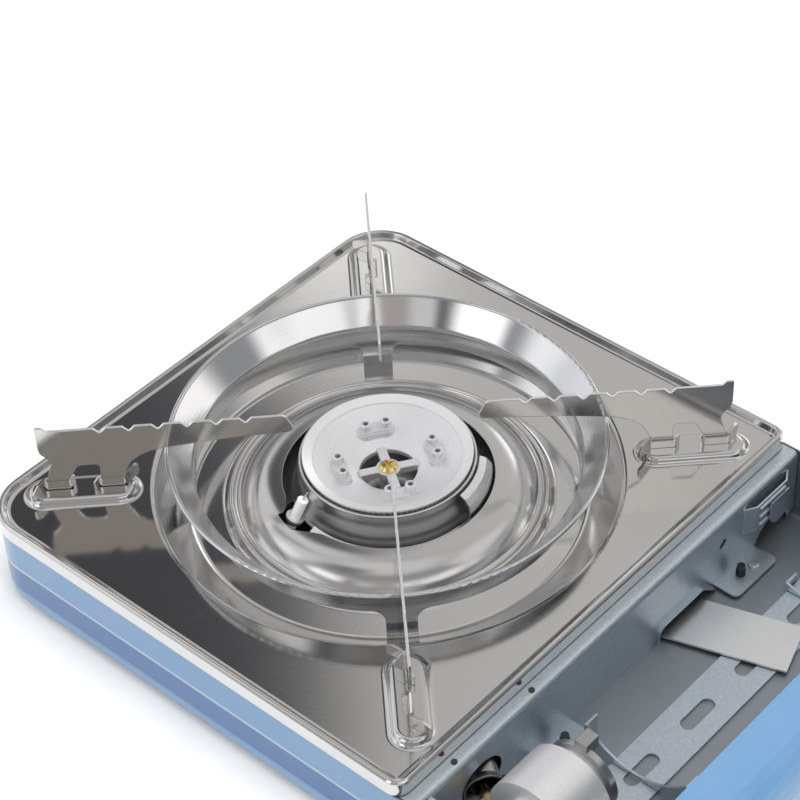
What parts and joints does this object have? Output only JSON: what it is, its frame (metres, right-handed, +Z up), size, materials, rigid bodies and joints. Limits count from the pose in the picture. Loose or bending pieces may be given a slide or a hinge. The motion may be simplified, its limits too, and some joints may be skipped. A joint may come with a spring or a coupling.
{
  "type": "portable gas stove",
  "caption": "Portable tabletop gas stove with a ring burner, bladed pan supports, wind guard, control knob and a lidded bay for a butane cartridge.",
  "frame": {"origin": "middle of the footprint with the lid open, on the table surface under the feet", "axes": "+X across the stove towards the cartridge bay and its open lid, +Y towards the rear, +Z up"},
  "size_m": [0.3998, 0.2922, 0.1292],
  "materials": {
    "painted_case": "semi-gloss light blue enamel",
    "polished_steel": "mirror-polished stainless sheet",
    "galvanised_steel": "zinc-coated sheet, dull blue-grey",
    "cast_aluminium": "matte die-cast",
    "steel": "plain steel",
    "yellow_zinc": "yellow zinc or brass",
    "ceramic": "white glazed ceramic",
    "black_plastic": "moulded black plastic",
    "rubber": "black rubber"
  },
  "bodies": {
    "stove": {"body_pan": "painted_case", "bay_wall": "galvanised_steel", "bay_clip": "galvanised_steel", "cartridge_saddle": "galvanised_steel", "top_plate": "polished_steel", "wind_guard": "polished_steel", "pan_support_rear_right": "polished_steel", "pan_support_rear_left": "polished_steel", "pan_support_front_left": "polished_steel", "pan_support_front_right": "polished_steel", "burner_head": "cast_aluminium", "burner_screw": "yellow_zinc", "burner_cup": "steel", "burner_base": "cast_aluminium", "burner_bracket": "galvanised_steel", "mixing_tube": "steel", "gas_jet": "yellow_zinc", "heat_panel": "cast_aluminium", "electrode_insulator": "ceramic", "electrode_wire": "steel", "electrode_clip": "steel", "igniter_lead": "rubber", "piezo_igniter": "black_plastic", "regulator_body": "cast_aluminium", "regulator_seat": "steel", "valve_seal": "rubber", "knob_plate": "black_plastic", "lever_guide": "galvanised_steel", "hinge_brackets": "steel", "hinge_pins": "steel", "hinge_rivets": "steel", "rubber_feet": "rubber", "plate_screws": "steel", "case_screws": "steel", "lid_buffers": "rubber"},
    "lid": {"lid": "painted_case"},
    "knob": {"knob": "black_plastic", "knob_shaft": "steel"},
    "lever": {"lock_lever": "black_plastic"},
    "carriage": {"cartridge_carriage": "galvanised_steel"}
  },
  "joints": [
    {"name": "lid_hinge", "type": "hinge", "parent": "stove", "child": "lid", "pos_m": [0.14435, 0.0115, 0.0466], "axis": [0, 1, 0], "range_deg": [-112, 0]},
    {"name": "knob_turn", "type": "hinge", "parent": "stove", "child": "knob", "pos_m": [0.10125, -0.1265, 0.025], "axis": [0, -1, 0], "range_deg": [0, 100]},
    {"name": "lock_slide", "type": "slide", "parent": "stove", "child": "lever", "axis": [0, 0, -1], "range_m": [0, 0.014]},
    {"name": "carriage_slide", "type": "slide", "parent": "stove", "child": "carriage", "axis": [0, -1, 0], "range_m": [0, 0.005]}
  ],
  "couplings": [
    {"joint": "carriage_slide", "follows": "lock_slide", "ratio": 0.357}
  ]
}
